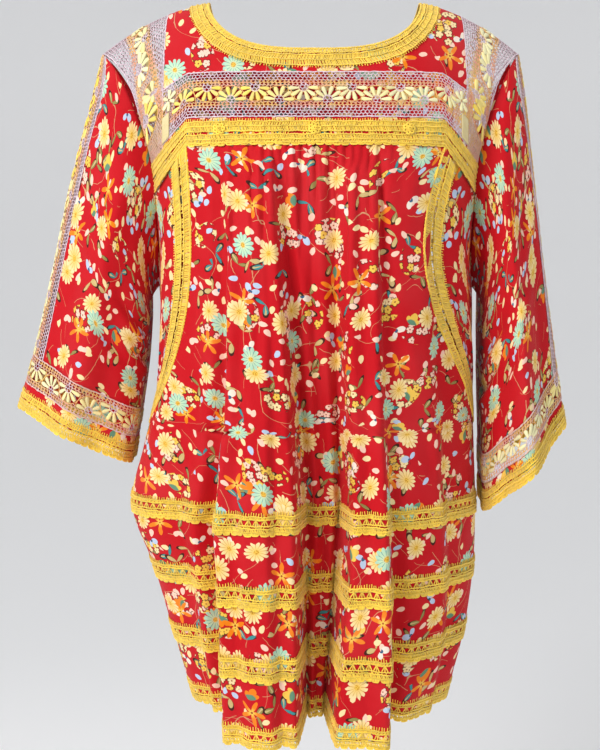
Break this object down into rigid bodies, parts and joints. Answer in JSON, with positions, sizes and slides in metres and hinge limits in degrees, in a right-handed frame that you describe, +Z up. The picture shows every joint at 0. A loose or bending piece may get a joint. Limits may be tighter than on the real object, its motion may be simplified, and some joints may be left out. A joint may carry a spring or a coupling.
{
  "type": "blouse",
  "caption": "Loose gathered blouse with a square-round neck, elbow sleeves, drawn-thread bands over the yoke, shoulders and sleeves, and crocheted edgings in tiers.",
  "frame": {"origin": "midway between the two neck points, at the top of the shoulders, where the wearer's shoulders carry the blouse", "axes": "+Z up along the hanging garment, -Y the front, +X towards the wearer's left"},
  "size_m": [0.5726, 0.3045, 0.7358],
  "materials": {
    "yoke_front": "printed plain-weave cotton",
    "yoke_back": "printed plain-weave cotton",
    "neck_trim_front": "crocheted cotton yarn",
    "neck_trim_back": "crocheted cotton yarn",
    "drawn_band_front": "drawn-thread needlework in cotton",
    "drawn_band_back": "drawn-thread needlework in cotton",
    "drawn_band_shoulder_left": "drawn-thread needlework in cotton",
    "drawn_band_shoulder_right": "drawn-thread needlework in cotton",
    "yoke_trim_front": "crocheted cotton yarn",
    "yoke_trim_back": "crocheted cotton yarn",
    "body_front": "printed plain-weave cotton",
    "body_back": "printed plain-weave cotton",
    "side_panel_left": "printed plain-weave cotton",
    "side_panel_right": "printed plain-weave cotton",
    "side_trim_left": "crocheted cotton yarn",
    "side_trim_right": "crocheted cotton yarn",
    "sleeve_left": "printed plain-weave cotton",
    "sleeve_right": "printed plain-weave cotton",
    "drawn_band_sleeve_left": "drawn-thread needlework in cotton",
    "drawn_band_sleeve_right": "drawn-thread needlework in cotton",
    "cuff_band_left_front": "drawn-thread needlework in cotton",
    "cuff_band_left_back": "drawn-thread needlework in cotton",
    "cuff_band_right_front": "drawn-thread needlework in cotton",
    "cuff_band_right_back": "drawn-thread needlework in cotton",
    "cuff_border_left": "printed plain-weave cotton",
    "cuff_border_right": "printed plain-weave cotton",
    "cuff_trim_left": "crocheted cotton yarn",
    "cuff_trim_right": "crocheted cotton yarn",
    "tier_trim_1_front": "crocheted cotton yarn",
    "tier_trim_1_back": "crocheted cotton yarn",
    "tier_trim_2_front": "crocheted cotton yarn",
    "tier_trim_2_back": "crocheted cotton yarn",
    "tier_trim_3_front": "crocheted cotton yarn",
    "tier_trim_3_back": "crocheted cotton yarn",
    "hem_trim_front": "crocheted cotton yarn",
    "hem_trim_back": "crocheted cotton yarn"
  },
  "bodies": {
    "root": {"yoke_front": "yoke_front", "yoke_back": "yoke_back", "neck_trim_front": "neck_trim_front", "neck_trim_back": "neck_trim_back", "drawn_band_front": "drawn_band_front", "drawn_band_back": "drawn_band_back", "drawn_band_shoulder_left": "drawn_band_shoulder_left", "drawn_band_shoulder_right": "drawn_band_shoulder_right", "yoke_trim_front": "yoke_trim_front", "yoke_trim_back": "yoke_trim_back", "body_front": "body_front", "body_back": "body_back", "side_panel_left": "side_panel_left", "side_panel_right": "side_panel_right", "side_trim_left": "side_trim_left", "side_trim_right": "side_trim_right", "sleeve_left": "sleeve_left", "sleeve_right": "sleeve_right", "drawn_band_sleeve_left": "drawn_band_sleeve_left", "drawn_band_sleeve_right": "drawn_band_sleeve_right", "cuff_band_left_front": "cuff_band_left_front", "cuff_band_left_back": "cuff_band_left_back", "cuff_band_right_front": "cuff_band_right_front", "cuff_band_right_back": "cuff_band_right_back", "cuff_border_left": "cuff_border_left", "cuff_border_right": "cuff_border_right", "cuff_trim_left": "cuff_trim_left", "cuff_trim_right": "cuff_trim_right", "tier_trim_1_front": "tier_trim_1_front", "tier_trim_1_back": "tier_trim_1_back", "tier_trim_2_front": "tier_trim_2_front", "tier_trim_2_back": "tier_trim_2_back", "tier_trim_3_front": "tier_trim_3_front", "tier_trim_3_back": "tier_trim_3_back", "hem_trim_front": "hem_trim_front", "hem_trim_back": "hem_trim_back"}
  },
  "joints": []
}
